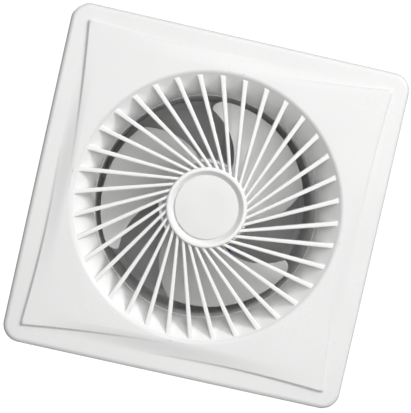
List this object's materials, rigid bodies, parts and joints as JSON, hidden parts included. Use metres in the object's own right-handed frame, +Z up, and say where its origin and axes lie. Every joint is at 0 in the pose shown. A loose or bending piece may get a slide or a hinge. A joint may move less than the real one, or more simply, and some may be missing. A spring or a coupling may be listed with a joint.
{
  "type": "bathroom extractor fan",
  "caption": "Wall-mounted bathroom extractor fan: square front panel with a swirl grille, swept impeller, round duct spigot and a spring-closed back-draft shutter.",
  "frame": {"origin": "on the fan axis, in the wall plane (the back face of the wall flange)", "axes": "+Y along the fan axis into the wall, -Y out into the room, +Z up, +X to the right seen from the room"},
  "size_m": [0.22, 0.1175, 0.22],
  "materials": {
    "panel_plastic": "satin moulded white",
    "grille_plastic": "satin moulded white",
    "cap_plastic": "satin moulded white",
    "housing_plastic": "white moulding, fine texture",
    "gasket_foam": "closed-cell foam",
    "bracket_plastic": "grey glass-filled nylon",
    "screw_steel": "zinc plated",
    "motor_case": "pressed plated steel",
    "laminations": "stacked electrical steel",
    "bobbin_nylon": "natural nylon",
    "copper_wire": "enamelled copper wire",
    "copper_band": "bare copper",
    "sintered_bronze": "oiled sintered bronze",
    "oil_felt": "oil soaked felt",
    "spring_steel": "spring steel",
    "fuse_body": "black sleeved cut-out",
    "shaft_steel": "ground steel",
    "cage_aluminium": "die cast",
    "impeller_plastic": "glossy white moulding",
    "terminal_plastic": "white polyamide",
    "clamp_brass": "plated brass",
    "cover_plastic": "white moulding",
    "grommet_rubber": "soft rubber",
    "brown_insulation": "extruded PVC",
    "blue_insulation": "extruded PVC",
    "clip_nylon": "black nylon",
    "shutter_plastic": "pale grey moulding",
    "flap_plastic": "pale grey moulding"
  },
  "bodies": {
    "housing": {"wall_flange": "housing_plastic", "duct_tube": "housing_plastic", "wall_gasket": "gasket_foam", "motor_bracket": "bracket_plastic", "bracket_screws": "screw_steel", "motor_front_shell": "motor_case", "motor_rear_shell": "motor_case", "stator_core": "laminations", "coil_bobbins": "bobbin_nylon", "stator_coils": "copper_wire", "shading_rings": "copper_band", "front_bush": "sintered_bronze", "rear_bush": "sintered_bronze", "front_oil_felt": "oil_felt", "rear_oil_felt": "oil_felt", "front_bush_retainer": "spring_steel", "rear_bush_retainer": "spring_steel", "thermal_fuse": "fuse_body", "motor_through_screws": "screw_steel", "motor_fixing_screws": "screw_steel", "terminal_block": "terminal_plastic", "terminal_clamps": "clamp_brass", "terminal_screws": "screw_steel", "block_screws": "screw_steel", "terminal_cover": "cover_plastic", "cover_screw": "screw_steel", "cable_clamp": "cover_plastic", "clamp_screws": "screw_steel", "cable_grommet": "grommet_rubber", "live_lead": "brown_insulation", "neutral_lead": "blue_insulation", "lead_grommet": "grommet_rubber", "lead_clip": "clip_nylon", "shutter_frame": "shutter_plastic", "shutter_spindle": "shaft_steel", "shutter_spring": "spring_steel"},
    "front_set": {"front_panel": "panel_plastic", "swirl_grille": "grille_plastic", "hub_cap": "cap_plastic"},
    "rotor": {"motor_shaft": "shaft_steel", "rotor_core": "laminations", "rotor_cage": "cage_aluminium", "thrust_washers": "bobbin_nylon", "shaft_clips": "spring_steel", "impeller": "impeller_plastic", "impeller_clip": "spring_steel"},
    "flap_left": {"shutter_flap_left": "flap_plastic", "spring_leg_left": "spring_steel"},
    "flap_right": {"shutter_flap_right": "flap_plastic", "spring_leg_right": "spring_steel"}
  },
  "joints": [
    {"name": "panel_pull_off", "type": "slide", "parent": "housing", "child": "front_set", "axis": [0, -1, 0], "range_m": [0, 0.06]},
    {"name": "fan_spin", "type": "hinge", "parent": "housing", "child": "rotor", "pos_m": [0, 0, 0], "axis": [0, -1, 0], "continuous": true},
    {"name": "flap_right_swing", "type": "hinge", "parent": "housing", "child": "flap_right", "pos_m": [0, 0.075, 0], "axis": [0, 0, 1], "range_deg": [0, 80], "stiffness_Nm_per_rad": 0.002, "springref_deg": -20.05},
    {"name": "flap_left_swing", "type": "hinge", "parent": "housing", "child": "flap_left", "pos_m": [0, 0.075, 0], "axis": [0, 0, -1], "range_deg": [0, 80], "stiffness_Nm_per_rad": 0.002, "springref_deg": -20.05}
  ]
}
